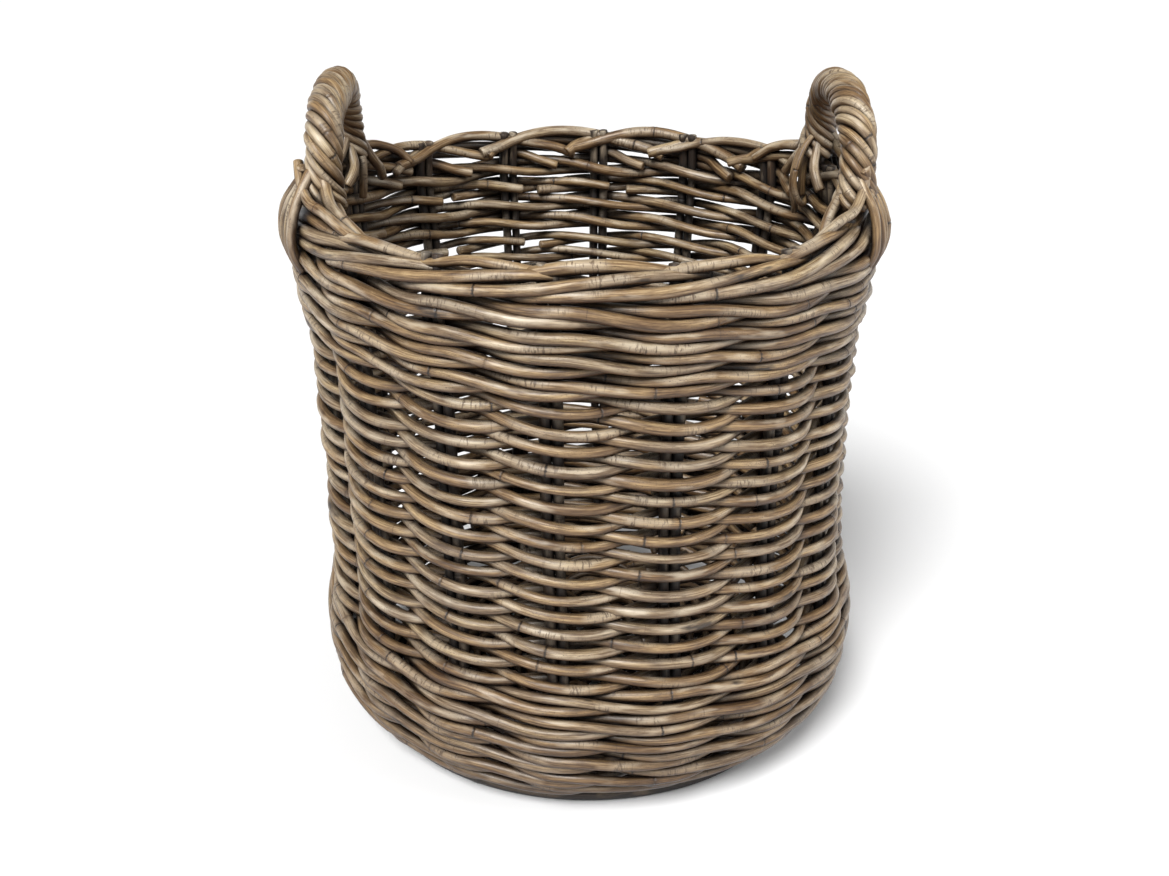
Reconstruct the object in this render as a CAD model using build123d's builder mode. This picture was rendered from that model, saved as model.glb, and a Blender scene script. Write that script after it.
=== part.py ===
"""Round wicker log basket with a twined wall, a rolled border and two rigid roped handles.

Millimetres, +Z up. The origin is the middle of the foot hoop's worn underside, the
handles stand at +X and -X, and the front of the basket faces -Y. Angles around the
basket are in degrees from the front, turning towards +X.
"""

import os
from math import cos, degrees, radians, sin

from build123d import *

# Canes
STAKE_D = 9.0
SIDING_D = 7.8
WALE_D = 8.8
BASE_D = 7.9
SPOKE_D = 9.0
GAP = 0.3  # between canes that cross

# Uprights, in pairs
STAKE_PAIRS = 16
STEP = 360 / STAKE_PAIRS
FIRST_STAKE = -3.5
PAIR_PITCH = STAKE_D + 0.4
PAIR_HALF = (PAIR_PITCH + STAKE_D) / 2
SPOKE_SIDE = (STAKE_D + SPOKE_D) / 2 + GAP  # from a spoke to the stakes tucked in beside it

# Handle legs, each pushed down beside a stake pair
LEG_STAKES = {"right": (3, 5), "left": (11, 13)}
CORE_D = 8.8
LEG_SIDE = PAIR_HALF + CORE_D / 2 + 2 * GAP  # from the middle of the pair

# Rows of weaving
BOTTOM_ROWS = 6
SIDING_ROWS = 16
TOP_ROWS = 5
SIDING_LIFT = (SIDING_D + GAP) / 2
WALE_LIFT = (WALE_D + GAP) / 2
SIDING_SWING = (SIDING_D + STAKE_D) / 2 + GAP
WALE_SWING = (WALE_D + STAKE_D) / 2 + 2 * GAP
SIDING_HOLD = PAIR_HALF + 5.2  # along the wall, either side of a stake pair, that a cane runs straight
WALE_HOLD = LEG_SIDE + CORE_D / 2 + 5.5
WALE_DROP = 0.35  # of a step past a stake, where a wale cane starts to drop
FIRST_ROW = 13.0  # along the stake from the corner
ZONE_GAP = 0.6  # more between rows of different canes
SEAM_GAP = 0.5  # of a hold, between the ends of canes that follow each other
CANE_BEND = 30.0
SEAM_STEP = 5  # stakes between one row's seam and the next

# Foot hoop
CORNER_R = 208.0  # where the stakes turn up, which sets how wide the basket is
HOOP_R = CORNER_R - 4.0
HOOP_D = 13.0
HOOP_WEAR = 0.5

# Centre line of a stake, as radius and height, from its tucked-in end to its top.
# The wall is as high as its rows.
BASE_Z = HOOP_D - HOOP_WEAR + STAKE_D / 2 + 5.0
SHOULDER_Z = 40.8 + BOTTOM_ROWS * 4 * WALE_LIFT
SIDING_TOP_Z = SHOULDER_Z - 24.2 + SIDING_ROWS * 4 * SIDING_LIFT
RIM_Z = SIDING_TOP_Z + TOP_ROWS * 4 * WALE_LIFT + 16.0
STAKE_IN = (CORNER_R - 73.5, BASE_Z)
STAKE_SPREAD = (CORNER_R - 20.0, BASE_Z)
STAKE_CORNER = (CORNER_R, BASE_Z)
STAKE_RISE = [
    (CORNER_R + 23.0, BASE_Z + 26.0),
    (CORNER_R + 33.0, BASE_Z + 73.0),
    (CORNER_R + 21.0, SHOULDER_Z),
    (CORNER_R + 18.5, SIDING_TOP_Z - 115.0),
    (CORNER_R + 22.0, SIDING_TOP_Z),
    (CORNER_R + 33.0, RIM_Z - 40.0),
]
STAKE_TOP = (CORNER_R + 26.6, RIM_Z)
SPREAD_BEND = 30.0
CORNER_BEND = 20.0
WALL_BENDS = [40.0, 90.0, 120.0, 200.0, 200.0, 90.0]

# Base
CROSS_PITCH = SPOKE_D + 0.4
CROSS_R = 32.0
FAN_R = 64.0
SPOKE_END = CORNER_R - 24.0
RING_HOLD = SPOKE_D / 2 + 2.0  # either side of a spoke
WIDE_HOLD = SPOKE_SIDE + STAKE_D / 2 + 1.2  # where stakes lie beside the spoke
FAN_BEND = 12.0
RING_BEND = 6.0
BASE_SWING = (BASE_D + max(SPOKE_D, STAKE_D)) / 2 + GAP
BASE_LIFT = (BASE_D + GAP) / 2
OUTER_RING = CORNER_R - 32.0
RING_PITCH = 4 * BASE_LIFT + 0.6
RING_COUNT = 1 + int((OUTER_RING - FAN_R - 9.5) / RING_PITCH)
BINDING_R = 44.0
BINDING_HOLD = 36.0
BINDING_SWING = SPOKE_D + BASE_D / 2 + 2 * GAP
BINDING_BEND = 4.0

# Handles
HANDLE_RISE = 92.0  # of the top of the handle above the stakes
WRAP_D = 30.0
APEX_Z = RIM_Z + HANDLE_RISE
LEG_END = (CORNER_R + 23.2, SIDING_TOP_Z + 7.0)
LEG_RIM = (CORNER_R + 26.0, RIM_Z + 4.0)
LEG_TOP = (CORNER_R + 18.0, APEX_Z - WRAP_D / 2)
LEG_BEND = 80.0
RIM_BEND = 200.0
WRAP_UP = 7.0  # from the legs' rim point to where the wrapping starts
WRAP_BORE = CORE_D + 2 * GAP
SHOULDER_BEND = 56.0
TAIL_D = 8.0
TAIL_SIDES = [-9.0, 0.0, 9.0]
TAIL_OUT = WALE_SWING + (WALE_D + TAIL_D) / 2 + 2.5  # from the stakes' line, clear of the weave
TAIL_LINE = [
    (CORNER_R + 24.6 + TAIL_OUT, RIM_Z + 16.0),
    (CORNER_R + 28.2 + TAIL_OUT, RIM_Z - 6.0),
    (CORNER_R + 33.0 + TAIL_OUT, RIM_Z - 40.0),
    (CORNER_R + 32.2 + TAIL_OUT, RIM_Z - 52.0),
]
TAIL_BEND = 30.0


def spot(angle, radius, height, side=0.0):
    """A point at an angle, radius and height, moved sideways along the rim by side."""
    a = radians(angle)
    return (radius * sin(a) + side * cos(a), side * sin(a) - radius * cos(a), height)


def stake_angle(number):
    return FIRST_STAKE + STEP * number


def cane(points, diameter, bends):
    """A round cane along the points, its corners bent to a radius or to a list of radii."""
    with BuildPart() as piece:
        with BuildLine() as path:
            FilletPolyline(*points, radius=bends)
        with BuildSketch(Plane(origin=path.line @ 0, z_dir=path.line % 0)):
            Circle(diameter / 2)
        sweep(path=path.line)
    return piece.part.solid()


def save(label, solids):
    """Writes one named node made of separate solids."""
    group = Compound(children=solids, label=label)
    export_step(group, f"parts/{label}.step")


with BuildLine() as stake_side:
    FilletPolyline(STAKE_IN, STAKE_CORNER, *STAKE_RISE, STAKE_TOP, radius=[CORNER_BEND, *WALL_BENDS])
stake_wire = Wire(stake_side.edges())
CORNER_AT = STAKE_CORNER[0] - STAKE_IN[0]


def row_frame(along):
    """Where a row crosses a stake: the point, and the direction up the stake, as radius and height."""
    at = stake_wire.position_at(along, position_mode=PositionMode.LENGTH)
    up = stake_wire.tangent_at(along, position_mode=PositionMode.LENGTH)
    return (at.X, at.Y, up.X, up.Y)


def woven(frame, angle, hold, out, lift):
    """A point of a woven cane: out from the stakes' circle, lifted along the stakes."""
    radius, height, up_r, up_z = frame
    flat = radius + out * up_z + lift * up_r
    return spot(angle, flat / cos(radians(hold)), height - out * up_r + lift * up_z)


def paired_path(frame, angles, hold, swing, lift):
    """A twining cane that passes inside and outside the given uprights in turn, inside at both ends."""
    points = []
    for step, angle in enumerate(angles):
        if step % 2:
            points.append(woven(frame, angle - hold, hold, swing, lift))
            points.append(woven(frame, angle + hold, hold, swing, -lift))
            continue
        if step == 0:
            points.append(woven(frame, angle - SEAM_GAP * hold, SEAM_GAP * hold, -swing, -SEAM_GAP * lift))
        else:
            points.append(woven(frame, angle - hold, hold, -swing, -lift))
        if step < len(angles) - 1:
            points.append(woven(frame, angle + hold, hold, -swing, lift))
    return points


def waled_path(frame, start, stakes):
    """A waling cane that passes inside one stake and outside the next two, inside at both ends."""
    hold = degrees(WALE_HOLD / frame[0])
    points = []
    for step in range(stakes + 1):
        angle = stake_angle(start + step)
        turn = step % 3
        if turn == 0:
            if step == 0:
                slack = SEAM_GAP * hold
                points.append(woven(frame, angle - slack, slack, -WALE_SWING, -SEAM_GAP * WALE_LIFT))
            else:
                points.append(woven(frame, angle - hold, hold, -WALE_SWING, -WALE_LIFT))
            if step < stakes:
                points.append(woven(frame, angle + hold, hold, -WALE_SWING, WALE_LIFT))
        elif turn == 1:
            drop = WALE_DROP * STEP
            points.append(woven(frame, angle - hold, hold, WALE_SWING, WALE_LIFT))
            points.append(woven(frame, angle + drop, drop, WALE_SWING, WALE_LIFT))
            points.append(woven(frame, angle + STEP - drop, drop, WALE_SWING, -WALE_LIFT))
        else:
            points.append(woven(frame, angle + hold, hold, WALE_SWING, -WALE_LIFT))
    return points


def siding_row(along, seam):
    """Two twining canes that go once around the basket, one stake apart."""
    frame = row_frame(along)
    hold = degrees(SIDING_HOLD / frame[0])
    canes = []
    for start in (seam, seam + 1):
        angles = [stake_angle(start + step) for step in range(STAKE_PAIRS + 1)]
        canes.append(cane(paired_path(frame, angles, hold, SIDING_SWING, SIDING_LIFT), SIDING_D, CANE_BEND))
    return canes


def waled_row(along, seam):
    """Three waling canes, each ending inside the stake where the next one starts."""
    frame = row_frame(along)
    spans = [STAKE_PAIRS + 2, STAKE_PAIRS - 1, STAKE_PAIRS - 1]
    return [cane(waled_path(frame, seam + n, spans[n]), WALE_D, CANE_BEND) for n in range(3)]


def stake(number, side):
    """One cane of a stake pair, tucked in beside a spoke and turned up into the wall."""
    angle = stake_angle(number)
    wide = side * SPOKE_SIDE
    near = side * PAIR_PITCH / 2
    points = [spot(angle, *STAKE_IN, wide), spot(angle, *STAKE_SPREAD, wide), spot(angle, *STAKE_CORNER, near)]
    points += [spot(angle, *at, near) for at in [*STAKE_RISE, STAKE_TOP]]
    return cane(points, STAKE_D, [SPREAD_BEND, CORNER_BEND, *WALL_BENDS])


def cross_stick(number, turned):
    """A base stick that lies in the middle cross and fans out to a spoke at each end."""
    count = STAKE_PAIRS // 4
    first = number + turned * count
    shift = (number - (count - 1) / 2) * CROSS_PITCH
    middle = stake_angle(turned * count + (count - 1) / 2)
    level = BASE_Z + (turned - 0.5) * (SPOKE_D + GAP)
    near = [spot(middle, end * CROSS_R, level, shift) for end in (1, -1)]
    mirrored = first + STAKE_PAIRS // 2 + (count - 1 - 2 * number)
    head = [spot(stake_angle(first), SPOKE_END, BASE_Z), spot(stake_angle(first), FAN_R, BASE_Z)]
    tail = [spot(stake_angle(mirrored), FAN_R, BASE_Z), spot(stake_angle(mirrored), SPOKE_END, BASE_Z)]
    return cane([*head, *near, *tail], SPOKE_D, FAN_BEND)


def base_ring(number, radius):
    """Two twining canes around the base, passing below and above the spokes."""
    hold = degrees((RING_HOLD if radius < STAKE_IN[0] else WIDE_HOLD) / radius)
    canes = []
    for start in (number * SEAM_STEP, number * SEAM_STEP + 1):
        angles = [stake_angle(start + step) for step in range(STAKE_PAIRS + 1)]
        line = paired_path((radius, BASE_Z, 1.0, 0.0), angles, hold, BASE_SWING, BASE_LIFT)
        canes.append(cane(line, BASE_D, RING_BEND))
    return canes


def base_binding():
    """Two canes twined around the four arms of the middle cross."""
    canes = []
    for start in range(2):
        angles = [stake_angle((STAKE_PAIRS // 4 - 1) / 2) + 90 * (start + arm) for arm in range(5)]
        line = paired_path((BINDING_R, BASE_Z, 1.0, 0.0), angles, BINDING_HOLD, BINDING_SWING, BASE_LIFT)
        canes.append(cane(line, BASE_D, BINDING_BEND))
    return canes


def leg_line(number):
    """A handle core's leg, from its end in the wall, pushed down beside a stake pair, to its shoulder."""
    angle = stake_angle(number)
    return [spot(angle, *at, LEG_SIDE) for at in [LEG_END, STAKE_RISE[-1], LEG_RIM, LEG_TOP]]


def between(start, end, share):
    """The point a share of the way from start to end."""
    return tuple(a + share * (b - a) for a, b in zip(start, end))


os.makedirs("parts", exist_ok=True)

# Base
save("base_sticks_lower", [cross_stick(n, 0) for n in range(STAKE_PAIRS // 4)])
save("base_sticks_upper", [cross_stick(n, 1) for n in range(STAKE_PAIRS // 4)])
save("base_binding", base_binding())
for index in range(1, RING_COUNT + 1):
    ring_radius = OUTER_RING - (RING_COUNT - index) * RING_PITCH
    save(f"base_ring_{index:02d}", base_ring(index, ring_radius))

with BuildPart() as foot_hoop:
    with BuildSketch(Plane.XZ):
        with Locations((HOOP_R, HOOP_D / 2 - HOOP_WEAR)):
            Circle(HOOP_D / 2)
        Rectangle(3 * HOOP_R, HOOP_D, align=(Align.CENTER, Align.MAX), mode=Mode.SUBTRACT)
    revolve(axis=Axis.Z)
foot_hoop.part.label = "foot_hoop"
export_step(foot_hoop.part, "parts/foot_hoop.step")

# Uprights
save("stakes", [stake(n, side) for n in range(STAKE_PAIRS) for side in (-1, 1)])

# Wall, from the bottom row up
along = CORNER_AT + FIRST_ROW
seam = 0
for index in range(1, BOTTOM_ROWS + 1):
    save(f"bottom_wale_row_{index:02d}", waled_row(along, seam))
    along += 4 * WALE_LIFT
    seam += SEAM_STEP
along += 2 * (SIDING_LIFT - WALE_LIFT) + ZONE_GAP
for index in range(1, SIDING_ROWS + 1):
    save(f"siding_row_{index:02d}", siding_row(along, seam))
    along += 4 * SIDING_LIFT
    seam += SEAM_STEP
along += 2 * (WALE_LIFT - SIDING_LIFT) + ZONE_GAP
for index in range(1, TOP_ROWS + 1):
    save(f"top_wale_row_{index:02d}", waled_row(along, seam))
    along += 4 * WALE_LIFT
    seam += SEAM_STEP

# Border, short canes that each pass one stake inside and two outside
border_frame = row_frame(along)
save("border", [cane(waled_path(border_frame, n, 3), WALE_D, CANE_BEND) for n in range(STAKE_PAIRS)])

# Handles
for end, (front_stake, back_stake) in LEG_STAKES.items():
    front_leg = leg_line(front_stake)
    back_leg = leg_line(back_stake)
    leg_bends = [LEG_BEND, RIM_BEND, SHOULDER_BEND]
    core = cane([*front_leg, *reversed(back_leg)], CORE_D, [*leg_bends, *reversed(leg_bends)])
    save(f"handle_core_{end}", [core])

    start = WRAP_UP / (LEG_TOP[1] - LEG_RIM[1])
    front_foot = between(front_leg[-2], front_leg[-1], start)
    back_foot = between(back_leg[-2], back_leg[-1], start)
    with BuildPart() as wrap:
        with BuildLine() as wrap_line:
            FilletPolyline(front_foot, front_leg[-1], back_leg[-1], back_foot, radius=SHOULDER_BEND)
        with BuildSketch(Plane(origin=wrap_line.line @ 0, z_dir=wrap_line.line % 0)):
            Circle(WRAP_D / 2)
            Circle(WRAP_BORE / 2, mode=Mode.SUBTRACT)
        sweep(path=wrap_line.line)
    save(f"handle_wrap_{end}", [wrap.part.solid()])

    tails = []
    for number in (front_stake, back_stake):
        for side in TAIL_SIDES:
            tail_line = [spot(stake_angle(number), *at, LEG_SIDE + side) for at in TAIL_LINE]
            tails.append(cane(tail_line, TAIL_D, TAIL_BEND))
    save(f"handle_tails_{end}", tails)
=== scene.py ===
"""Looks of the round wicker log basket: every cane as its own curved, uneven, knotted tube.

Metres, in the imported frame. Angles around the basket are in degrees from the front (-Y),
turning towards +X, as in the CAD part.
"""

from math import cos, pi, radians, sin

import bpy
import numpy as np
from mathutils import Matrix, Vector


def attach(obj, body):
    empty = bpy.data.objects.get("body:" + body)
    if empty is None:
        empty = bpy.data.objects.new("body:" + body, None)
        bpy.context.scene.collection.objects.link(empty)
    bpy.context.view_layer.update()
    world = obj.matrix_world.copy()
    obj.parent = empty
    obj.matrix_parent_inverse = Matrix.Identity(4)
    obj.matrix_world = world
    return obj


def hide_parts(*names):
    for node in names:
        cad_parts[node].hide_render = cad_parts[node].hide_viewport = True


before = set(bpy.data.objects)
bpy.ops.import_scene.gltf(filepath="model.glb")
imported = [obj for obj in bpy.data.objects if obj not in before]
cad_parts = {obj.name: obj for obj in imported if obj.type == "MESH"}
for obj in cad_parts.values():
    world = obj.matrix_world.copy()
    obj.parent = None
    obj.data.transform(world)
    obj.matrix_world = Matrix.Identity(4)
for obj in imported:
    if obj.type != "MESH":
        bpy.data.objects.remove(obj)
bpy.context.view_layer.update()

MM = 0.001

# Canes, as diameters
STAKE_D = 9.0 * MM
SIDING_D = 8.9 * MM
WALE_D = 9.4 * MM
BASE_D = 7.9 * MM
BORDER_D = 10.0 * MM

# Uprights
PAIRS = 16
STEP = 360 / PAIRS
FIRST_STAKE = -3.5
PAIR_PITCH = 9.4 * MM
SPOKE_SIDE = 9.3 * MM  # from the middle of a pair, between the base sticks
SPOKE_TURN_R = 188 * MM  # where the two stakes of a pair start to close up

# Centre line of a stake as radius and height, and how far each corner's bend reaches
STAKE_LINE = np.array([
    (134.5, 22), (208, 22), (231, 48), (241, 95), (229, 150),
    (226.5, 270), (230, 385), (239, 452), (234.6, 492),
]) * MM
STAKE_REACH = np.array([0, 8, 12, 20, 22, 30, 24, 18, 0]) * MM
CORNER_AT = 73.5 * MM

# Rows of weaving
BOTTOM_ROWS = 6
SIDING_ROWS = 16
TOP_ROWS = 4
SIDING_LIFT = 4.05 * MM
WALE_LIFT = 4.55 * MM
SIDING_SWING = 8.8 * MM
WALE_SWING = 9.6 * MM
FIRST_ROW = 18.0 * MM
ZONE_GAP = 1.0 * MM
RIM_Z = 494.6 * MM
RIM_R = 235.0 * MM
SEAM_STEP = 5  # stakes, from the start of one row to the start of the next
ROW_MARGIN = 0.12  # stakes that a cane runs on before its first stake
ROW_SHORT = 0.32  # stakes that it stops short of its last one

# Base
BASE_Z = 22.0 * MM
RING_RADII = np.array([74, 91, 108, 125, 142, 159, 176]) * MM
EDGE_RING = 17.0 * MM  # from the last ring to one more that closes the edge of the base
BASE_SWING = 8.75 * MM
BASE_LIFT = 4.1 * MM
STICK_PITCH = 9.4 * MM
STICK_LAYERS = 9.3 * MM  # between the two layers of sticks where they cross
CROSS_HALF = 32 * MM
SPLAY_R = 64 * MM
STICK_END = 184 * MM
STICK_BEND = 10 * MM
BINDING_R = 44 * MM
BINDING_TURN = 36  # degrees either side of the middle of an arm
BINDING_SWING = 13.55 * MM
BINDING_BEND = 7 * MM
HOOP_R = 204 * MM
HOOP_Z = 6.0 * MM
HOOP_D = 12.6 * MM

# Handles
LEG_STAKES = {"right": (3, 5), "left": (11, 13)}
LEG_SIDE = 14.2 * MM
LEG_Z = 500 * MM
CORE_D = 8.8 * MM
CORE_LOW = [(231.2 * MM, 392 * MM), (239 * MM, 452 * MM)]  # beside its stake
LEG_R = 233.2 * MM
TOP_R = 226.0 * MM
APEX_Z = 588.0 * MM
WRAP_R = 15.0 * MM
ARCH_POWER = 0.78  # 1 is a half ellipse, and less is a flatter top
BACK_LEG_SHIFT = {
    "left": np.array((9.0, 2.0, 0.0)) * MM,
    "right": np.array((-3.0, 0.0, 0.0)) * MM,
}
HANDLE_SHIFT = {"left": (-2.0 * MM, -6.0 * MM, 0.0), "right": (5.0 * MM, 0.0, 0.0)}
SHIFT_RISE = 70 * MM  # above the rim, where a handle's whole shift is reached
FLARE = 4 * MM  # of the rope where it opens at each foot
FLARE_RUN = 22 * MM
STRANDS = 7
STRAND_D = 8.4 * MM
LEAD = 68.0 * MM  # of one turn of the rope
LOOP_D = 5.8 * MM  # of the two loose loops inside the right handle

# Unevenness of the whole basket, angles in degrees
FRONT_SHIFT = 2.7
FRONT_SPAN = 40.0
LEAN = 5.5 * MM
LEAN_Z = 85.0 * MM
LEAN_SPAN = 95.0 * MM
DIP = 5.0 * MM
DIP_AT = 38.0
DIP_SPAN = 24.0

# Joins in the rows
JOIN_CHANCE = 0.1  # at each stake
JOIN_POINTS = 9  # of an end that bends inwards

RINGS = 12  # faces around a cane
SPACING = 3.0 * MM  # between rings along a cane

# Knots, as places along a cane
KNOT_CLEAR = 12 * MM  # of a cane's ends
NO_KNOT = 1e3  # stands for a knot on a cane that has none
KNOT_RINGS = np.array([-5, -3, -1.6, -0.7, 0, 0.7, 1.6, 3, 5]) * MM
KNOT_REACH = 20 * MM

# First seeds of the random draws
SIDING_SEED = 100
WALE_SEED = 500
STAKE_SEED = 31
STICK_SEED = 41
HOOP_SEED = 58
BINDING_SEED = 59
RING_SEED = 60
BORDER_SEED = 77
WRAP_SEED = 12
CORE_SEED = 14
TAIL_SEED = 16
ENDS = ("left", "right")


# ---------------------------------------------------------------- lines


def spot(angle, radius, height, side=0.0):
    """Points at an angle in degrees, a radius and a height, moved sideways along the rim.

    The belly leans a little to the right, and the rim dips beside the right handle.
    """
    a = np.radians(angle)
    lean = LEAN * np.exp(-(((height - LEAN_Z) / LEAN_SPAN) ** 2))
    off = (np.mod(angle - DIP_AT + 180, 360) - 180) / DIP_SPAN
    dip = DIP * np.exp(-(off**2)) * (np.clip(height, 0, RIM_Z) / RIM_Z) ** 3
    x = radius * np.sin(a) + side * np.cos(a) + lean
    return np.stack([x, side * np.sin(a) - radius * np.cos(a), height - dip + 0 * a], -1)


def stake_angle(number):
    """The angle of a stake; the front ones stand a little to the left of an even spacing."""
    angle = FIRST_STAKE + STEP * number
    off = (np.mod(angle + 180, 360) - 180) / FRONT_SPAN
    return angle - FRONT_SHIFT * np.exp(-(off**2))


def even(points, spacing=SPACING):
    """The same line with points at an even spacing."""
    points = np.asarray(points, float)
    run = np.concatenate([[0], np.cumsum(np.linalg.norm(np.diff(points, axis=0), axis=1))])
    count = max(4, int(run[-1] / spacing) + 1)
    at = np.linspace(0, run[-1], count)
    return np.stack([np.interp(at, run, points[:, k]) for k in range(points.shape[1])], -1)


def rounded(points, reach, spacing=SPACING):
    """A line through straight runs, with each corner rounded over a reach either side of it."""
    points = np.asarray(points, float)
    reach = np.broadcast_to(reach, len(points))
    line = [points[0]]
    t = np.linspace(0, 1, 12)[:, None]
    for k in range(1, len(points) - 1):
        before = points[k] - points[k - 1]
        after = points[k + 1] - points[k]
        far_b = min(reach[k], 0.49 * np.linalg.norm(before))
        far_a = min(reach[k], 0.49 * np.linalg.norm(after))
        start = points[k] - before / np.linalg.norm(before) * far_b
        end = points[k] + after / np.linalg.norm(after) * far_a
        line.extend((1 - t) ** 2 * start + 2 * t * (1 - t) * points[k] + t**2 * end)
    line.append(points[-1])
    return even(line, spacing)


def flowing(points, spacing=SPACING):
    """A smooth line through every point (Catmull-Rom)."""
    p = np.asarray(points, float)
    p = np.vstack([2 * p[0] - p[1], p, 2 * p[-1] - p[-2]])
    t = np.linspace(0, 1, 16, endpoint=False)[:, None]
    line = []
    for k in range(1, len(p) - 2):
        a, b, c, d = p[k - 1 : k + 3]
        square = 2 * a - 5 * b + 4 * c - d
        cube = 3 * b - a - 3 * c + d
        line.extend(0.5 * (2 * b + (c - a) * t + square * t**2 + cube * t**3))
    line.append(p[-2])
    return even(line, spacing)


def smooth_noise(rng, count, every):
    """Random values with unit spread that change smoothly over a number of samples."""
    knots = rng.standard_normal(int(count / every) + 4)
    at = np.arange(count) / every + 1
    k = at.astype(int)
    f = at - k
    f = f * f * (3 - 2 * f)
    return knots[k] * (1 - f) + knots[k + 1] * f


stake_side = rounded(STAKE_LINE, STAKE_REACH, 1 * MM)
stake_run = np.concatenate([[0], np.cumsum(np.linalg.norm(np.diff(stake_side, axis=0), axis=1))])


def row_frame(along):
    """Where a row crosses the stakes, and the direction up the stakes, as radius and height."""
    at = [np.interp(along, stake_run, stake_side[:, k]) for k in range(2)]
    ahead = [np.interp(along + 2 * MM, stake_run, stake_side[:, k]) for k in range(2)]
    behind = [np.interp(along - 2 * MM, stake_run, stake_side[:, k]) for k in range(2)]
    up = np.array(ahead) - np.array(behind)
    up /= np.linalg.norm(up)
    return (*at, *up)


# ---------------------------------------------------------------- canes


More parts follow.
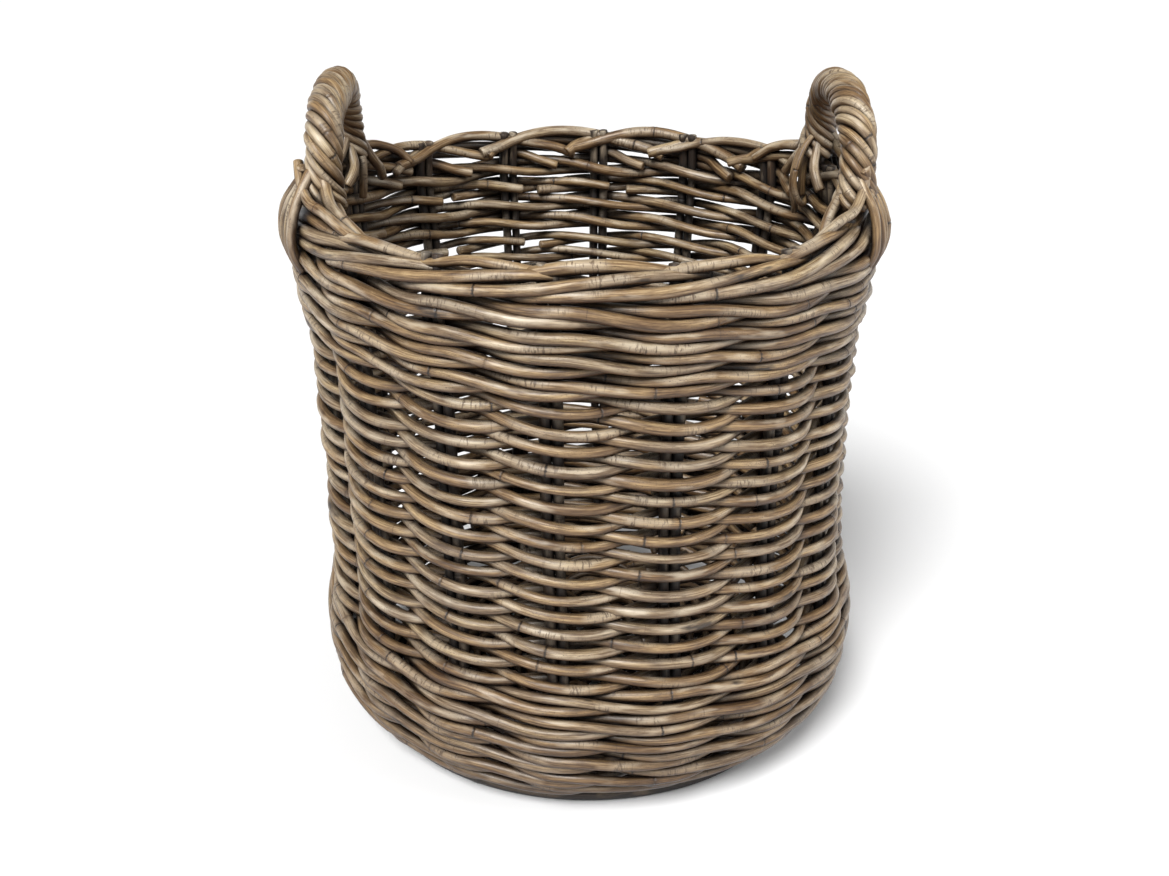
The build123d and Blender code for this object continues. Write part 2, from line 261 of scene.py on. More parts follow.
class Canes:
    """Gathers canes into one mesh, with what the cane material needs stored on its points."""

    def __init__(self, name, nodes, slot_name, material):
        self.name = name
        self.nodes = nodes
        self.slot_name = slot_name
        self.material = material
        self.co, self.faces, self.tris = [], [], []
        self.grain, self.ident, self.knot = [], [], []
        self.count = 0

    def add(self, line, diameter, rng, rough=1.0):
        """A cane along the line: uneven, with knots, and cut across at both ends."""
        line = np.asarray(line, float)
        run = np.concatenate([[0], np.cumsum(np.linalg.norm(np.diff(line, axis=0), axis=1))])
        length = run[-1]
        marks = []
        at = rng.uniform(-0.1, 0.12)
        while at < length:
            marks.append(at)
            at += rng.uniform(0.14, 0.4)
        marks = [mark for mark in marks if KNOT_CLEAR < mark < length - KNOT_CLEAR]
        extra = [mark + ring for mark in marks for ring in KNOT_RINGS]
        marks = np.array(marks or [NO_KNOT])
        s = np.unique(np.round(np.concatenate([run, extra]), 5))
        s = s[np.concatenate([[True], np.diff(s) > 0.25 * MM])]
        p = np.stack([np.interp(s, run, line[:, k]) for k in range(3)], -1)
        tangent = np.gradient(p, s, axis=0)
        tangent /= np.linalg.norm(tangent, axis=1)[:, None]
        side = np.cross(tangent[0], (0.3, 0.2, 1.0))
        side /= np.linalg.norm(side)
        sides = []
        for t in tangent:
            side = side - t * side.dot(t)
            side /= np.linalg.norm(side)
            sides.append(side)
        sides = np.array(sides)
        ups = np.cross(tangent, sides)
        off = s[:, None] - marks[None, :]
        near = off[np.arange(len(s)), np.abs(off).argmin(1)]
        half = diameter / 2 * (1 + rough * 0.05 * smooth_noise(rng, len(s), 22))
        swelling = 0.09 * np.exp(-((near / (2.8 * MM)) ** 2))
        groove = 0.1 * np.exp(-((near / (0.6 * MM)) ** 2))
        half = half * (1 + swelling - groove)
        share = s / length
        around = np.arange(RINGS) * 2 * pi / RINGS + rng.uniform(0, pi)
        twist = 2 * (around[None, :] + rng.uniform(0, pi)) + 3 * share[:, None]
        flat = 1 + 0.03 * rough * np.cos(twist)
        ring = half[:, None] * flat
        out = np.cos(around)[None, :, None] * sides[:, None, :]
        out = out + np.sin(around)[None, :, None] * ups[:, None, :]
        co = p[:, None, :] + ring[..., None] * out
        grain = np.stack(
            [
                ring * np.cos(around)[None, :],
                ring * np.sin(around)[None, :],
                np.repeat(s[:, None], RINGS, 1),
            ],
            -1,
        )
        ident = rng.uniform(0, 1)
        grain = grain + np.array([0, 0, 20 * rng.uniform(0, 1)])
        n = len(s)
        base = self.count
        k = np.arange(n - 1)[:, None] * RINGS + base
        j = np.arange(RINGS)[None, :]
        nxt = (j + 1) % RINGS
        quads = np.stack([k + j, k + nxt, k + RINGS + nxt, k + RINGS + j], -1).reshape(-1, 4)
        self.faces.append(quads)
        self.co.append(co.reshape(-1, 3))
        self.grain.append(grain.reshape(-1, 3))
        self.ident.append(np.full(n * RINGS, ident))
        self.knot.append(np.repeat(np.clip(near, -KNOT_REACH, KNOT_REACH), RINGS))
        self.count += n * RINGS
        for end, sign in ((0, -1), (n - 1, 1)):
            first = base + end * RINGS
            self._cap(co[end], p[end], tangent[end] * sign, grain[end], ident, sign, first)

    def _cap(self, ring, middle, out, grain, ident, sign, first):
        """Closes an end with a small bevel and a flat cut."""
        inner = middle + (ring - middle) * 0.9 + out * 0.35 * MM
        base = self.count
        j = np.arange(RINGS)
        nxt = (j + 1) % RINGS
        bevel = np.stack([first + j, first + nxt, base + nxt, base + j], -1)
        centre = base + RINGS
        flat = np.stack([base + j, base + nxt, np.full(RINGS, centre)], -1)
        if sign < 0:
            bevel, flat = bevel[:, ::-1], flat[:, [1, 0, 2]]
        self.faces.append(bevel)
        self.tris.append(flat)
        self.co.append(np.vstack([inner, middle + out * 0.3 * MM]))
        self.grain.append(np.vstack([grain, grain.mean(0)]))
        self.ident.append(np.full(RINGS + 1, ident))
        self.knot.append(np.full(RINGS + 1, KNOT_REACH))
        self.count += RINGS + 1

    def build(self):
        """Makes the mesh, and says what it stands for in the frame."""
        co = np.vstack(self.co)
        quads = np.vstack(self.faces)
        tris = np.vstack(self.tris)
        mesh = bpy.data.meshes.new(self.name)
        mesh.vertices.add(len(co))
        mesh.vertices.foreach_set("co", co.astype(np.float32).ravel())
        loops = np.concatenate([quads.ravel(), tris.ravel()]).astype(np.int32)
        starts = [np.arange(len(quads)) * 4, len(quads) * 4 + np.arange(len(tris)) * 3]
        starts = np.concatenate(starts).astype(np.int32)
        mesh.loops.add(len(loops))
        mesh.loops.foreach_set("vertex_index", loops)
        mesh.polygons.add(len(starts))
        mesh.polygons.foreach_set("loop_start", starts)
        mesh.update(calc_edges=True)
        mesh.validate()
        mesh.shade_smooth()
        for label, kind, values, key in (
            ("grain", "FLOAT_VECTOR", np.vstack(self.grain), "vector"),
            ("ident", "FLOAT", np.concatenate(self.ident), "value"),
            ("knot", "FLOAT", np.concatenate(self.knot), "value"),
        ):
            attribute = mesh.attributes.new(label, kind, "POINT")
            attribute.data.foreach_set(key, values.astype(np.float32).ravel())
        thing = bpy.data.objects.new(self.name, mesh)
        bpy.context.scene.collection.objects.link(thing)
        mesh.materials.append(self.material)
        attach(thing, "root")
        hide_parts(*self.nodes)
        return thing


# ---------------------------------------------------------------- weaving


def ease(x):
    """From 0 to 1 with a soft start and end."""
    x = np.clip(x, 0, 1)
    return x * x * (3 - 2 * x)


# Lift of a twining cane over its two stakes
PAIR_AT = [0, 0.22, 0.5, 0.72, 1.0, 1.25, 1.5, 1.72, 2.0]
PAIR_LIFT = [0.25, 0.8, 1.0, 0.5, -0.4, -0.85, -1.0, -0.55, 0.25]


def pair_wave(u):
    """Out and lift of a twining cane, u in stakes from a stake that it passes inside."""
    c = -np.cos(pi * u)
    out = c * (1.22 - 0.22 * c * c)
    fine = np.linspace(0, 2, 161)
    lift = np.interp(fine, PAIR_AT, PAIR_LIFT)
    pad = 12
    looped = np.concatenate([lift[-pad - 1 : -1], lift, lift[1 : pad + 1]])
    lift = np.convolve(looped, np.ones(2 * pad + 1) / (2 * pad + 1), "valid")
    return out, np.interp(np.mod(u, 2), fine, lift * 1.06)


def wale_wave(u):
    """Out and lift of a waling cane, u in stakes from the stake that it passes inside."""
    v = np.mod(u, 3)
    out = -1 + 2 * ease(v) * (v < 1.5) + 2 * ease(3 - v) * (v >= 1.5)
    rise = -1 + 2 * ease((v + 0.42) / 0.84)
    rise = np.where(v > 2.58, -1 + 2 * ease((v - 3 + 0.42) / 0.84), rise)
    drop = 1 - 2 * ease((v - 1.1) / 0.8)
    lift = np.where(v < 1.0, rise, np.where(v < 2.2, drop, rise))
    lift = np.where((v >= 2.2) & (v <= 2.58), -1.0, lift)
    return out, lift


def row_line(level, start, span, wave, swing, lift, rng, wobble=1.0):
    """The uneven line of a cane in a row, with both ends inside, and its place in stakes."""
    radius, height, up_r, up_z = level
    samples = int(span * STEP / 360 * 2 * pi * max(radius, 0.08) / (2.5 * MM)) + 8
    u = np.linspace(-ROW_MARGIN, span - ROW_SHORT, samples)
    out, rise = wave(u)
    per = samples / span
    out = out * swing + wobble * 0.8 * MM * smooth_noise(rng, samples, per * 0.9)
    rise = rise * lift + wobble * 0.95 * MM * smooth_noise(rng, samples, per * 0.7)
    flat = radius + out * up_z + rise * up_r
    tall = height - out * up_r + rise * up_z
    return spot(stake_angle(start + u), flat, tall), u


def weave(canes, line, u, inside, diameter, rng):
    """Lays the line in lengths that meet behind stakes, where the old end points inwards."""
    places = range(inside * 2, int(u[-1]) - inside, inside)
    joins = [k for k in places if rng.uniform() < JOIN_CHANCE * inside]
    first = 0
    for join in [*joins, None]:
        last = len(u)
        if join is not None:
            last = int(np.searchsorted(u, join + rng.uniform(0.1, 0.3)))
        part = line[first:last].copy()
        if join is not None:
            share = ease(1 - (len(part) - 1 - np.arange(len(part))) / JOIN_POINTS)
            flat = part[:, :2] / np.linalg.norm(part[:, :2], axis=1)[:, None]
            part[:, :2] -= flat * (share * rng.uniform(2, 7) * MM)[:, None]
            part[:, 2] += share * rng.uniform(-3, 4) * MM
            first = int(np.searchsorted(u, join - rng.uniform(0.12, 0.3)))
        canes.add(even(part, 2.8 * MM), diameter * rng.uniform(0.9, 1.08), rng)


def siding_row(label, along, seam, material):
    """A row of two canes that twine, each outside one stake and inside the next."""
    canes = Canes(f"cane_{label}", [label], "siding_cane", material)
    rng = np.random.default_rng(SIDING_SEED + seam)
    level = row_frame(along)
    for n in range(2):
        line, u = row_line(level, seam + n, PAIRS, pair_wave, SIDING_SWING, SIDING_LIFT, rng)
        weave(canes, line, u, 2, SIDING_D, rng)
    canes.build()


def waled_row(label, along, seam, material):
    """A row of three canes, each outside two stakes and inside the third."""
    canes = Canes(f"cane_{label}", [label], "wale_cane", material)
    rng = np.random.default_rng(WALE_SEED + seam)
    level = row_frame(along)
    for n, span in enumerate((PAIRS + 2, PAIRS - 1, PAIRS - 1)):
        line, u = row_line(level, seam + n, span, wale_wave, WALE_SWING, WALE_LIFT, rng)
        weave(canes, line, u, 3, WALE_D, rng)
    canes.build()


# Border rods: stakes from where a rod comes up, millimetres out from the rim and up from its top
OUTER_ROD = [
    (-0.55, -9, -36), (-0.36, -3, -31), (-0.12, 8, -25.5), (0.3, 11.5, -22.5), (0.8, 11.5, -20),
    (1.2, 10, -15.5), (1.6, 7.5, -11.5), (1.95, 3, -11), (2.2, -4, -15.5), (2.42, -10.5, -22),
]
UPPER_ROD = [
    (0.25, -6, -25), (0.45, -4, -19), (0.75, 0, -13), (1.02, 2, -7), (1.3, 2.5, -4),
    (1.6, 1.5, -5), (1.9, -1.5, -10), (2.12, -5, -15.5), (2.3, -8, -20),
]


def border_rods(label, node, course, seed, material):
    """One rod for each stake: up beside it, out over the rim, and in again two stakes on."""
    canes = Canes(label, [node], "border_cane", material)
    rng = np.random.default_rng(seed)
    course = np.array(course, float)
    for start in range(PAIRS):
        u = course[:, 0] + rng.uniform(-0.05, 0.05)
        u[-1] += rng.uniform(-0.12, 0.12)
        out = course[:, 1] + rng.uniform(-0.9, 0.9, len(course))
        up = course[:, 2] + rng.uniform(-0.9, 0.9, len(course)) + rng.uniform(-0.7, 0.7)
        line = spot(stake_angle(start + u), RIM_R + out * MM, RIM_Z + up * MM)
        canes.add(flowing(line), BORDER_D * rng.uniform(0.88, 1.08), rng)
    canes.build()


def stakes(material):
    """The uprights, in pairs, that run in from the wall between the base sticks."""
    canes = Canes("cane_stakes", ["stakes"], "stake_cane", material)
    rng = np.random.default_rng(STAKE_SEED)
    for number in range(PAIRS):
        for side in (-1, 1):
            wide = side * SPOKE_SIDE
            near = side * PAIR_PITCH / 2
            angle = stake_angle(number)
            at = [spot(angle, *STAKE_LINE[0], wide), spot(angle, SPOKE_TURN_R, BASE_Z, wide)]
            at += [spot(angle, *point, near) for point in STAKE_LINE[1:]]
            reach = np.concatenate([[0, 8 * MM], STAKE_REACH[1:]])
            canes.add(rounded(at, reach), STAKE_D * rng.uniform(0.93, 1.02), rng)
    canes.build()


def base_sticks(label, turned, material):
    """Four sticks side by side through the middle, that fan out to the spaces between stakes."""
    canes = Canes(f"cane_{label}", [label], "base_cane", material)
    rng = np.random.default_rng(STICK_SEED + turned)
    count = PAIRS // 4
    middle = stake_angle(turned * count + (count - 1) / 2)
    level = BASE_Z + (turned - 0.5) * STICK_LAYERS
    for number in range(count):
        first = number + turned * count
        mirrored = first + PAIRS // 2 + (count - 1 - 2 * number)
        shift = (number - (count - 1) / 2) * STICK_PITCH
        at = [spot(stake_angle(first), radius, BASE_Z) for radius in (STICK_END, SPLAY_R)]
        at += [spot(middle, way * CROSS_HALF, level, shift) for way in (1, -1)]
        at += [spot(stake_angle(mirrored), radius, BASE_Z) for radius in (SPLAY_R, STICK_END)]
        canes.add(rounded(at, STICK_BEND), STAKE_D, rng)
    canes.build()


def base_ring(label, number, radius, material):
    """A ring of two twined canes; the last one has a second round that closes the edge."""
    canes = Canes(f"cane_{label}", [label], "base_cane", material)
    rng = np.random.default_rng(RING_SEED + number)
    rounds = [radius, radius + EDGE_RING] if number == len(RING_RADII) else [radius]
    for reach in rounds:
        for start in (number * SEAM_STEP, number * SEAM_STEP + 1):
            level = (reach, BASE_Z, 1.0, 0.0)
            line, _ = row_line(level, start, PAIRS, pair_wave, BASE_SWING, BASE_LIFT, rng, 0.5)
            canes.add(even(line), BASE_D, rng)
    canes.build()


def base_binding(material):
    """Two canes twined around the four arms of the middle cross."""
    canes = Canes("cane_base_binding", ["base_binding"], "base_cane", material)
    rng = np.random.default_rng(BINDING_SEED)
    for start in range(2):
        at = []
        for arm in range(5):
            angle = stake_angle(1.5) + 90 * (start + arm)
            out = -1 if arm % 2 == 0 else 1
            for turn, lift in ((-BINDING_TURN, out), (BINDING_TURN, -out)):
                r = (BINDING_R + lift * BASE_LIFT) / cos(radians(BINDING_TURN))
                at.append(spot(angle + turn, r, BASE_Z - out * BINDING_SWING))
        canes.add(rounded(at[1:-1], BINDING_BEND), BASE_D, rng)
    canes.build()


def foot_hoop(material):
    """A thin cane hoop under the wall, in two lengths that butt, worn flat where it stands."""
    canes = Canes("cane_foot_hoop", ["foot_hoop"], "hoop_cane", material)
    rng = np.random.default_rng(HOOP_SEED)
    for start in (40, 220):
        angle = np.linspace(start + 0.4, start + 179.6, 300)
        canes.add(even(spot(angle, HOOP_R, HOOP_Z)), HOOP_D, rng, rough=0.3)
    thing = canes.build()
    for v in thing.data.vertices:
        v.co.z = max(v.co.z, 0.0)
    return thing


# ---------------------------------------------------------------- handles


def leg_foot(number):
    """Where a leg of a handle meets the border, beside its stake."""
    return spot(stake_angle(number), LEG_R, LEG_Z, LEG_SIDE)


def handle_axis(end):
    """The centre line of a handle, a flattened arch from its front foot to its back foot."""
    front, back = (leg_foot(n) for n in LEG_STAKES[end])
    back = back + BACK_LEG_SHIFT[end]
    over = [spot(stake_angle(n), TOP_R, APEX_Z - WRAP_R, LEG_SIDE) for n in LEG_STAKES[end]]
    top = BACK_LEG_SHIFT[end] / 2 + sum(over) / 2
    turn = np.linspace(0, pi, 120)[:, None]
    across = -np.sign(np.cos(turn)) * np.abs(np.cos(turn)) ** ARCH_POWER
    up = np.sin(turn) ** ARCH_POWER
    line = (front + back) / 2 + across * (back - front) / 2
    flat = line * (1, 1, 0) + (top - (front + back) / 2) * (1, 1, 0)
    line = line * (1 - up) + up * (flat + (0, 0, top[2]))
    line = line + ease((line[:, 2:] - RIM_Z) / SHIFT_RISE) * np.array(HANDLE_SHIFT[end])
    return even(line, 2 * MM)


def frames(line):
    """Directions across a line that don't twist along it."""
    tangent = np.gradient(line, axis=0)
    tangent /= np.linalg.norm(tangent, axis=1)[:, None]
    side = np.cross(tangent[0], (1.0, 0.0, 0.0))
    side /= np.linalg.norm(side)
    sides = []
    for t in tangent:
        side = side - t * side.dot(t)
        side /= np.linalg.norm(side)
        sides.append(side)
    sides = np.array(sides)
    return sides, np.cross(tangent, sides)


def handle_wrap(end, material):
    """Strands laid around the core like a rope."""
    canes = Canes(f"cane_handle_wrap_{end}", [f"handle_wrap_{end}"], "handle_cane", material)
    rng = np.random.default_rng(WRAP_SEED + ENDS.index(end))
    axis = handle_axis(end)
    run = np.concatenate([[0], np.cumsum(np.linalg.norm(np.diff(axis, axis=0), axis=1))])
    sides, ups = frames(axis)
    for strand in range(STRANDS):
        wobble = 0.09 * smooth_noise(rng, len(axis), 22)
        turn = strand * 2 * pi / STRANDS - 2 * pi * run / LEAD + wobble
        flare = FLARE * (1 - ease(np.minimum(run, run[-1] - run) / FLARE_RUN))
        reach = WRAP_R - STRAND_D / 2 + 0.5 * MM * smooth_noise(rng, len(axis), 18) + flare
        line = axis + reach[:, None] * (np.cos(turn)[:, None] * sides + np.sin(turn)[:, None] * ups)
        canes.add(even(line, 2.2 * MM), STRAND_D * rng.uniform(0.9, 1.14), rng)
    canes.build()


def handle_core(end, material):
    """The bow inside the rope, pushed down beside a stake at both ends."""
    canes = Canes(f"cane_handle_core_{end}", [f"handle_core_{end}"], "handle_cane", material)
    rng = np.random.default_rng(CORE_SEED + ENDS.index(end))
    angles = [stake_angle(n) for n in LEG_STAKES[end]]
    front, back = ([spot(angle, *at, LEG_SIDE) for at in CORE_LOW] for angle in angles)
    canes.add(flowing([*front, *handle_axis(end)[::8], *reversed(back)]), CORE_D, rng)
    canes.build()


def fan(canes, number, rods, diameter, rng):
    """Rods that leave the foot of a leg, each a little uneven.

    A rod's points are degrees from the leg, and radius and height in millimetres.
    """
    base = stake_angle(number) + np.degrees(LEG_SIDE / LEG_R)
    for rod in rods:
        turn, radius, height = np.array(rod, float).T
        loose = rng.uniform(-1, 1, (3, len(turn)))
        radius, height = (radius + 0.7 * loose[1]) * MM, (height + loose[2]) * MM
        line = spot(base + turn + 0.2 * loose[0], radius, height)
        canes.add(flowing(line, 2.4 * MM), diameter * rng.uniform(0.88, 1.08), rng)


def handle_tails(end, material):
    """The strands' ends: over the border outside, along the rim, and tucked down inside."""
    canes = Canes(f"cane_handle_tails_{end}", [f"handle_tails_{end}"], "handle_cane", material)
    rng = np.random.default_rng(TAIL_SEED + ENDS.index(end))
    outside = [
        [
            (side * 0.5, 234, 524), (side, 243, 511), (side * 1.25, 252, 496),
            (side * 1.3, 256.5, 478), (side * 1.1, 254.5, 463), (side * 0.8, 247, low),
        ]
        for side, low in ((-2.7, 450), (-0.9, 446), (0.9, 452), (2.6, 447))
    ]
    along_rim = [
        [
            (-2, 240, 530), (1, 242, 515), (5, 241, 504), (10, 239, 500.5),
            (16, 237, 496), (21, 233, 486), (24, 229, 476),
        ],
        [
            (2, 227, 526), (4, 226, 512), (7, 228, 503),
            (12, 230, 498.5), (17, 229, 492), (21, 225, 482),
        ],
        [
            (0, 240, 528), (-3, 241, 512), (-7, 240, 503),
            (-12, 237, 499), (-17, 232, 490), (-20, 226, 478),
        ],
    ]
    inside = [
        [
            (side * 0.4, 228, 522), (side, 223, 507), (side * 1.7, 217.5, 494),
            (side * 2.5, 217, (494 + low) / 2), (side * 3.2, 219, low),
        ]
        for side, low in ((-2.4, 474), (0.3, 462), (2.6, 478))
    ]
    for number in LEG_STAKES[end]:
        fan(canes, number, outside, STRAND_D, rng)
        fan(canes, number, along_rim, STRAND_D * 1.08, rng)
        fan(canes, number, inside, STRAND_D, rng)
    if end == "right":
        loops = [
            [
                (-1, 227, 522), (-2, 214, 513), (-3, 203, 496), (-3.5, 200, 478),
                (-3, 206, 462), (-1, 216, 455), (2, 224, 460),
            ],
            [
                (1, 226, 516), (1.5, 215, 503), (1, 209, 485),
                (1, 209, 467), (2, 214, 452), (5, 222, 444),
            ],
        ]
        fan(canes, LEG_STAKES[end][1], loops, LOOP_D, rng)
    canes.build()


# ---------------------------------------------------------------- material


def srgb(r, g, b):
    """A colour given in display values, 0 to 255, as linear light."""
    linear = [((c / 255 + 0.055) / 1.055) ** 2.4 if c > 10 else c / 255 / 12.92 for c in (r, g, b)]
    return (*linear, 1)


class Graph:
    """Short names for building a node tree."""

    def __init__(self, owner):
        self.tree = owner.node_tree

    def new(self, kind, inputs=None, **settings):
        """A node with its settings, and each input linked to a socket or set to a value."""
        node = self.tree.nodes.new(kind)
        for key, value in settings.items():
            setattr(node, key, value)
        for key, value in (inputs or {}).items():
            if isinstance(value, bpy.types.NodeSocket):
                self.tree.links.new(value, node.inputs[key])
            else:
                node.inputs[key].default_value = value
        return node

    def math(self, operation, a, b=0.0):
        return self.new("ShaderNodeMath", {0: a, 1: b}, operation=operation).outputs[0]

    def mix(self, factor, a, b, blend="MIX"):
        inputs = {0: factor, 6: a, 7: b}
        return self.new("ShaderNodeMix", inputs, data_type="RGBA", blend_type=blend).outputs[2]

    def span(self, value, low, high, to_low=0.0, to_high=1.0):
        inputs = {0: value, 1: low, 2: high, 3: to_low, 4: to_high}
        return self.new("ShaderNodeMapRange", inputs).outputs[0]

    def noise(self, vector, scale, detail=2.0, rough=0.5):
        """Noise with its own scale across, across and along a cane."""
        place = self.new("ShaderNodeVectorMath", {0: vector, 1: scale}, operation="MULTIPLY")
        inputs = {"Vector": place.outputs[0], "Scale": 1.0, "Detail": detail, "Roughness": rough}
        return self.new("ShaderNodeTexNoise", inputs).outputs["Fac"]

    def ramp(self, value, stops):
        node = self.new("ShaderNodeValToRGB", {0: value})
        while len(node.color_ramp.elements) < len(stops):
            node.color_ramp.elements.new(0.5)
        for element, (at, color) in zip(node.color_ramp.elements, stops):
            element.position = at
            element.color = color
        return node.outputs[0]


# Colours of the cane's marks
WORN = srgb(214, 200, 176)
SPECK = srgb(58, 42, 30)
SCAR = srgb(198, 184, 160)
CRACK = srgb(84, 64, 44)
BURNT = srgb(40, 30, 24)
KNOT_RING = srgb(30, 21, 15)
# Reach of the painted shade in the gaps between canes
PAINTED_SHADE_REACH = 16.0 * MM


def cane_material(name, stops, gloss=0.36):
    """Weathered rattan: a tone for each cane, grain, speckles, scars, burns and knots, with painted
    shade in the gaps, on the undersides and low down.
    """
    material = bpy.data.materials.new(name)
    material.use_nodes = True
    material.node_tree.nodes.clear()
    g = Graph(material)
    grain = g.new("ShaderNodeAttribute", attribute_name="grain").outputs["Vector"]
    ident = g.new("ShaderNodeAttribute", attribute_name="ident").outputs["Fac"]
    knot = g.math("ABSOLUTE", g.new("ShaderNodeAttribute", attribute_name="knot").outputs["Fac"])

    def darker(color, r, gr, b):
        return g.mix(1.0, color, srgb(r, gr, b), "MULTIPLY")

    drift = g.noise(grain, (20, 20, 11), 2.0)
    own = g.math("MULTIPLY", ident, 0.6)
    pick = g.math("ADD", own, g.math("MULTIPLY", g.span(drift, 0.28, 0.72), 0.4))
    color = g.ramp(pick, stops)

    # Grain along the cane
    streak = g.noise(grain, (820, 820, 24), 3.0, 0.6)
    color = g.mix(g.span(streak, 0.38, 0.62, 0.0, 0.85), color, darker(color, 140, 116, 88))
    fine = g.noise(grain, (2400, 2400, 110), 2.0)
    color = g.mix(g.span(fine, 0.4, 0.66, 0.0, 0.65), color, darker(color, 150, 128, 102))

    # Brown blotches, and pale worn patches
    blotch = g.noise(grain, (150, 150, 40), 4.0, 0.6)
    color = g.mix(g.span(blotch, 0.5, 0.68, 0.0, 0.6), color, darker(color, 134, 106, 80))
    pale = g.noise(grain, (120, 120, 26), 3.0)
    color = g.mix(g.span(pale, 0.54, 0.7, 0.0, 0.6), color, WORN)

    # Speckles
    speck = g.noise(grain, (1300, 1300, 800), 1.0)
    where = g.noise(grain, (60, 60, 22), 1.0)
    specks = g.math("MULTIPLY", g.span(speck, 0.63, 0.71), g.span(where, 0.42, 0.58))
    color = g.mix(g.math("MULTIPLY", specks, 0.75), color, SPECK)

    # Scarred stretches, cracked across
    scar = g.span(g.noise(grain, (38, 38, 15), 1.0), 0.54, 0.62)
    cross = g.noise(grain, (140, 140, 620), 3.0, 0.65)
    crossed = g.math("MULTIPLY", g.span(cross, 0.53, 0.62), scar)
    color = g.mix(g.math("MULTIPLY", scar, 0.4), color, SCAR)
    color = g.mix(g.math("MULTIPLY", crossed, 0.8), color, CRACK)

    # Nearly black patches
    dark = g.noise(grain, (50, 50, 12), 4.0, 0.65)
    burnt = g.span(dark, 0.635, 0.7)
    color = g.mix(g.math("MULTIPLY", burnt, 0.88), color, BURNT)

    # Knots, some with a sharp dark ring and some almost worn away
    edge = g.noise(grain, (600, 600, 260), 2.0)
    ragged = g.math("ADD", knot, g.span(edge, 0.25, 0.75, -0.0006, 0.0009))
    sharp = g.span(g.noise(grain, (9, 9, 5), 0.0), 0.36, 0.52, 0.25, 1.0)
    ring_line = g.math("MULTIPLY", g.span(ragged, 0.0004, 0.0015, 1.0, 0.0), sharp)
    collar = g.span(knot, 0.001, 0.008, 0.5, 0.0)
    color = g.mix(collar, color, darker(color, 160, 132, 102))
    color = g.mix(g.math("MULTIPLY", ring_line, 0.92), color, KNOT_RING)

    # Painted shade where canes lie close together: darker the more the nearby canes hide the light
    gap_shade = g.new("ShaderNodeAmbientOcclusion", {"Distance": PAINTED_SHADE_REACH}, samples=4)
    color = g.mix(g.span(gap_shade.outputs["AO"], 0.3, 0.95, 1.0, 0.0), color, darker(color, 58, 40, 26))

    # Painted shade on the undersides: what faces down is darker and browner than what faces up
    geometry = g.new("ShaderNodeNewGeometry")
    facing = g.new("ShaderNodeSeparateXYZ", {0: geometry.outputs["Normal"]}).outputs["Z"]
    color = g.mix(g.span(facing, -0.7, 0.45, 1.0, 0.0), color, darker(color, 136, 106, 74))

    # Painted shade on the lowest rows, darker towards the floor
    above = g.new("ShaderNodeSeparateXYZ", {0: geometry.outputs["Position"]}).outputs["Z"]
    color = g.mix(g.span(above, 0.0, 0.2, 0.75, 0.0), color, darker(color, 150, 126, 98))

    height = g.math("ADD", g.math("MULTIPLY", streak, 0.8), g.math("MULTIPLY", fine, 0.3))
    height = g.math("SUBTRACT", height, g.math("MULTIPLY", crossed, 0.5))
    height = g.math("SUBTRACT", height, g.math("MULTIPLY", ring_line, 0.8))
    height = g.math("ADD", height, g.math("MULTIPLY", blotch, 0.4))
    bump = g.new("ShaderNodeBump", {"Height": height, "Strength": 0.6, "Distance": 0.0007})
    rough = g.span(streak, 0.3, 0.8, gloss, gloss + 0.25)
    shader = g.new(
        "ShaderNodeBsdfPrincipled",
        {
            "Base Color": color,
            "Roughness": rough,
            "Normal": bump.outputs["Normal"],
            "Specular IOR Level": 0.5,
            "Coat Weight": 0.14,
            "Coat Roughness": 0.28,
        },
    )
    g.new("ShaderNodeOutputMaterial", {"Surface": shader.outputs[0]})
    return material


TAN = [
    (0.0, srgb(106, 80, 54)),
    (0.16, srgb(146, 118, 82)),
    (0.34, srgb(180, 153, 112)),
    (0.5, srgb(190, 165, 124)),
    (0.64, srgb(176, 159, 134)),
    (0.8, srgb(194, 173, 134)),
    (1.0, srgb(208, 191, 160)),
]
# Darker tones for a shaded copy of the cane: painted shade on the stakes, base sticks and foot hoop,
# which lie behind and under the weave
PAINTED_SHADE_TONES = [
    (0.0, srgb(46, 35, 25)),
    (0.5, srgb(78, 60, 42)),
    (1.0, srgb(118, 95, 70)),
]
cane = cane_material("weathered_cane", TAN)
painted_shade_cane = cane_material("shaded_cane", PAINTED_SHADE_TONES, gloss=0.5)


# ---------------------------------------------------------------- the basket

base_sticks("base_sticks_lower", 0, painted_shade_cane)
base_sticks("base_sticks_upper", 1, painted_shade_cane)
base_binding(cane)
for index, ring_radius in enumerate(RING_RADII, 1):
    base_ring(f"base_ring_{index:02d}", index, ring_radius, cane)
foot_hoop(painted_shade_cane)
stakes(painted_shade_cane)

along = CORNER_AT + FIRST_ROW
seam = 0
for index in range(1, BOTTOM_ROWS + 1):
    waled_row(f"bottom_wale_row_{index:02d}", along, seam, cane)
    along += 4 * WALE_LIFT
    seam += SEAM_STEP
along += 2 * (SIDING_LIFT - WALE_LIFT) + ZONE_GAP
for index in range(1, SIDING_ROWS + 1):
    siding_row(f"siding_row_{index:02d}", along, seam, cane)
    along += 4 * SIDING_LIFT
    seam += SEAM_STEP
along += 2 * (WALE_LIFT - SIDING_LIFT) + ZONE_GAP
for index in range(1, TOP_ROWS + 1):
    waled_row(f"top_wale_row_{index:02d}", along, seam, cane)
    along += 4 * WALE_LIFT
    seam += SEAM_STEP
border_rods("cane_border_outer", "top_wale_row_05", OUTER_ROD, BORDER_SEED, cane)
border_rods("cane_border_upper", "border", UPPER_ROD, BORDER_SEED + 1, cane)
for end in ENDS:
    handle_core(end, cane)
    handle_wrap(end, cane)
    handle_tails(end, cane)


# ---------------------------------------------------------------- room, light and camera


FLOOR_REACH = 60.0
FLOOR_Z = -0.5 * MM
AIM = Vector((0, 0, 0.3))  # of the lamps, near the middle of the basket
CAMERA_PLACE = (0, -1.157, 0.766)
CAMERA_DOWN = 25.7


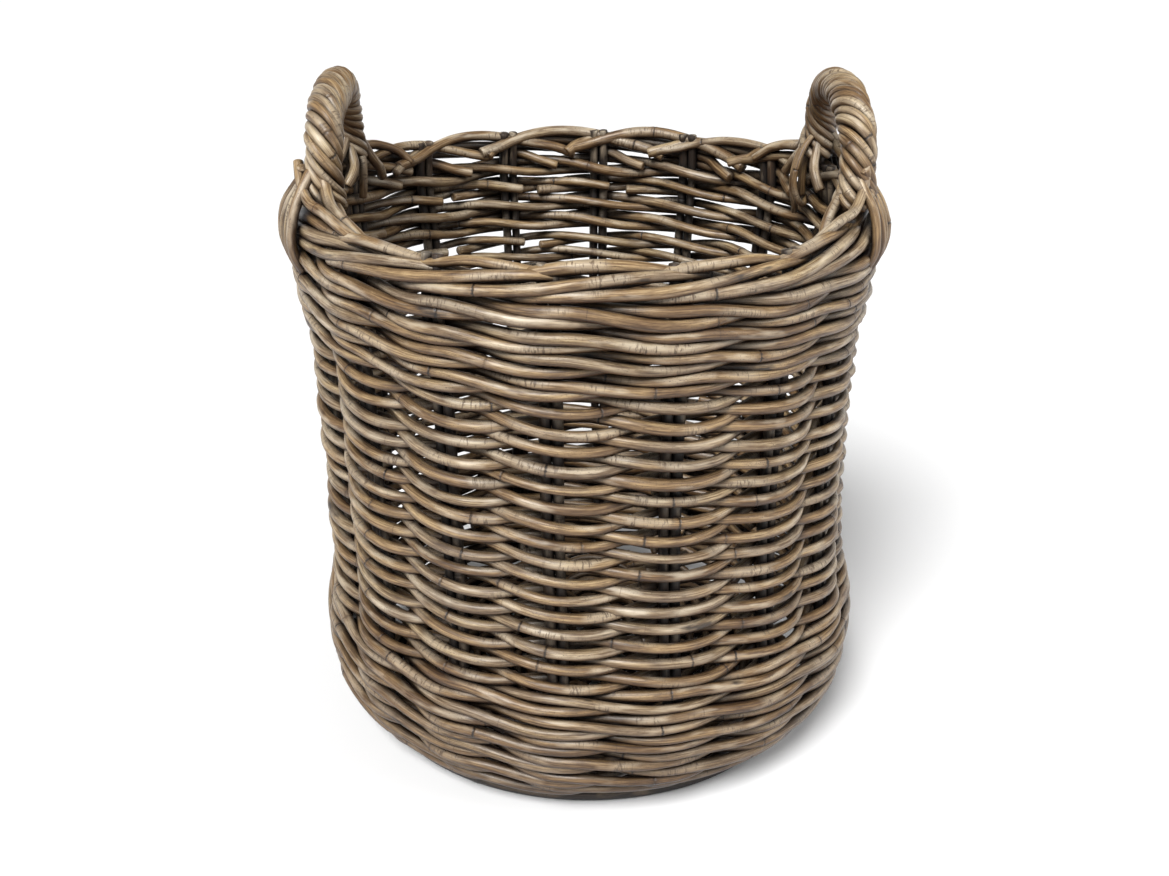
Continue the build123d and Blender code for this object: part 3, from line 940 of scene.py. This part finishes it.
def floor():
    """A plain pale floor, just under the basket."""
    mesh = bpy.data.meshes.new("floor")
    around = ((-1, -1), (1, -1), (1, 1), (-1, 1))
    corners = [(x * FLOOR_REACH, y * FLOOR_REACH, FLOOR_Z) for x, y in around]
    mesh.from_pydata(corners, [], [(0, 1, 2, 3)])
    thing = bpy.data.objects.new("floor", mesh)
    bpy.context.scene.collection.objects.link(thing)
    material = bpy.data.materials.new("pale_floor")
    material.use_nodes = True
    shader = material.node_tree.nodes["Principled BSDF"]
    shader.inputs["Base Color"].default_value = (0.88, 0.88, 0.88, 1)
    shader.inputs["Roughness"].default_value = 0.9
    shader.inputs["Specular IOR Level"].default_value = 0.1
    mesh.materials.append(material)


def light(name, kind, place, strength, **settings):
    """A lamp that shines from a place towards the middle of the basket."""
    data = bpy.data.lights.new(name, kind)
    data.energy = strength
    for key, value in settings.items():
        setattr(data, key, value)
    thing = bpy.data.objects.new(name, data)
    bpy.context.scene.collection.objects.link(thing)
    thing.location = place
    thing.rotation_euler = (AIM - Vector(place)).to_track_quat("-Z", "Y").to_euler()


floor()
light("key", "SUN", (-0.8, -2.0, 2.75), 4.0, angle=radians(24))
light("side", "AREA", (1.6, -0.9, 1.5), 12, size=0.8)

world = bpy.data.worlds.new("studio")
world.use_nodes = True
# White at the horizon, and dimmer overhead
sky = Graph(world)
direction = sky.new("ShaderNodeTexCoord").outputs["Generated"]
height = sky.new("ShaderNodeSeparateXYZ", {0: direction}).outputs["Z"]
background = world.node_tree.nodes["Background"]
background.inputs["Color"].default_value = (1, 1, 1, 1)
world.node_tree.links.new(sky.span(height, 0.12, 0.4, 0.96, 0.2), background.inputs["Strength"])
bpy.context.scene.world = world

camera_data = bpy.data.cameras.new("camera")
camera_data.lens = 41.8
camera_data.sensor_width = 36
camera_data.shift_y = 0.0385
camera = bpy.data.objects.new("camera", camera_data)
bpy.context.scene.collection.objects.link(camera)
camera.location = CAMERA_PLACE
camera.rotation_euler = (radians(90 - CAMERA_DOWN), 0, 0)
bpy.context.scene.camera = camera
bpy.context.scene.view_settings.view_transform = "Standard"
